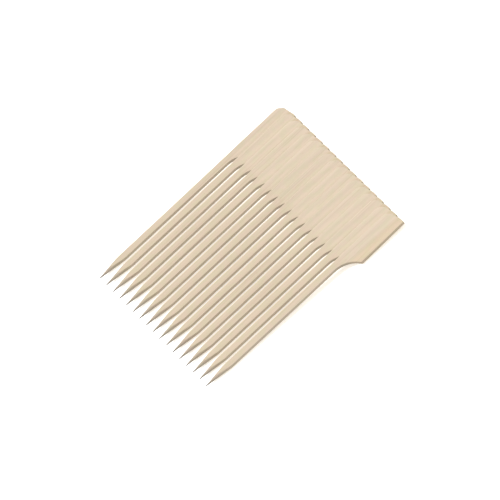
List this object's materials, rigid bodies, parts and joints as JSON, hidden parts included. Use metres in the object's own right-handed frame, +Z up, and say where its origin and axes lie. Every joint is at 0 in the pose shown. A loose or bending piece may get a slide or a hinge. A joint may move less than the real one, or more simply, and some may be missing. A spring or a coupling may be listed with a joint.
{
  "type": "row of bamboo paddle picks",
  "caption": "Row of flat bamboo picks with needle points and one-sided paddle ends, laid overlapping like roof tiles, each loose and able to be drawn out.",
  "frame": {"origin": "on the table, under the middle of the row's footprint", "axes": "+Z up, +X along the row from pick_01 at the bottom of the overlap to pick_17 on top, +Y along the picks from the needle points to the paddles"},
  "size_m": [0.1206, 0.12, 0.0071],
  "materials": {
    "bamboo": "dry sanded bamboo, fine straight fibres, no varnish"
  },
  "bodies": {
    "pick_01": {"pick_01": "bamboo"},
    "pick_02": {"pick_02": "bamboo"},
    "pick_03": {"pick_03": "bamboo"},
    "pick_04": {"pick_04": "bamboo"},
    "pick_05": {"pick_05": "bamboo"},
    "pick_06": {"pick_06": "bamboo"},
    "pick_07": {"pick_07": "bamboo"},
    "pick_08": {"pick_08": "bamboo"},
    "pick_09": {"pick_09": "bamboo"},
    "pick_10": {"pick_10": "bamboo"},
    "pick_11": {"pick_11": "bamboo"},
    "pick_12": {"pick_12": "bamboo"},
    "pick_13": {"pick_13": "bamboo"},
    "pick_14": {"pick_14": "bamboo"},
    "pick_15": {"pick_15": "bamboo"},
    "pick_16": {"pick_16": "bamboo"},
    "pick_17": {"pick_17": "bamboo"}
  },
  "joints": [
    {"name": "pick_02_draw", "type": "slide", "parent": "pick_01", "child": "pick_02", "axis": [0, 0.9993, 0.0361], "range_m": [0, 0.125]},
    {"name": "pick_03_draw", "type": "slide", "parent": "pick_01", "child": "pick_03", "axis": [0, 0.9993, 0.0361], "range_m": [0, 0.125]},
    {"name": "pick_04_draw", "type": "slide", "parent": "pick_01", "child": "pick_04", "axis": [0, 0.9993, 0.0361], "range_m": [0, 0.125]},
    {"name": "pick_05_draw", "type": "slide", "parent": "pick_01", "child": "pick_05", "axis": [0, 0.9993, 0.0361], "range_m": [0, 0.125]},
    {"name": "pick_06_draw", "type": "slide", "parent": "pick_01", "child": "pick_06", "axis": [0, 0.9993, 0.0361], "range_m": [0, 0.125]},
    {"name": "pick_07_draw", "type": "slide", "parent": "pick_01", "child": "pick_07", "axis": [0, 0.9993, 0.0361], "range_m": [0, 0.125]},
    {"name": "pick_08_draw", "type": "slide", "parent": "pick_01", "child": "pick_08", "axis": [0, 0.9993, 0.0361], "range_m": [0, 0.125]},
    {"name": "pick_09_draw", "type": "slide", "parent": "pick_01", "child": "pick_09", "axis": [0, 0.9993, 0.0361], "range_m": [0, 0.125]},
    {"name": "pick_10_draw", "type": "slide", "parent": "pick_01", "child": "pick_10", "axis": [0, 0.9993, 0.0361], "range_m": [0, 0.125]},
    {"name": "pick_11_draw", "type": "slide", "parent": "pick_01", "child": "pick_11", "axis": [0, 0.9993, 0.0361], "range_m": [0, 0.125]},
    {"name": "pick_12_draw", "type": "slide", "parent": "pick_01", "child": "pick_12", "axis": [0, 0.9993, 0.0361], "range_m": [0, 0.125]},
    {"name": "pick_13_draw", "type": "slide", "parent": "pick_01", "child": "pick_13", "axis": [0, 0.9993, 0.0361], "range_m": [0, 0.125]},
    {"name": "pick_14_draw", "type": "slide", "parent": "pick_01", "child": "pick_14", "axis": [0, 0.9993, 0.0361], "range_m": [0, 0.125]},
    {"name": "pick_15_draw", "type": "slide", "parent": "pick_01", "child": "pick_15", "axis": [0, 0.9993, 0.0361], "range_m": [0, 0.125]},
    {"name": "pick_16_draw", "type": "slide", "parent": "pick_01", "child": "pick_16", "axis": [0, 0.9993, 0.0361], "range_m": [0, 0.125]},
    {"name": "pick_17_draw", "type": "slide", "parent": "pick_01", "child": "pick_17", "axis": [0, 0.9993, 0.0361], "range_m": [0, 0.125]}
  ]
}
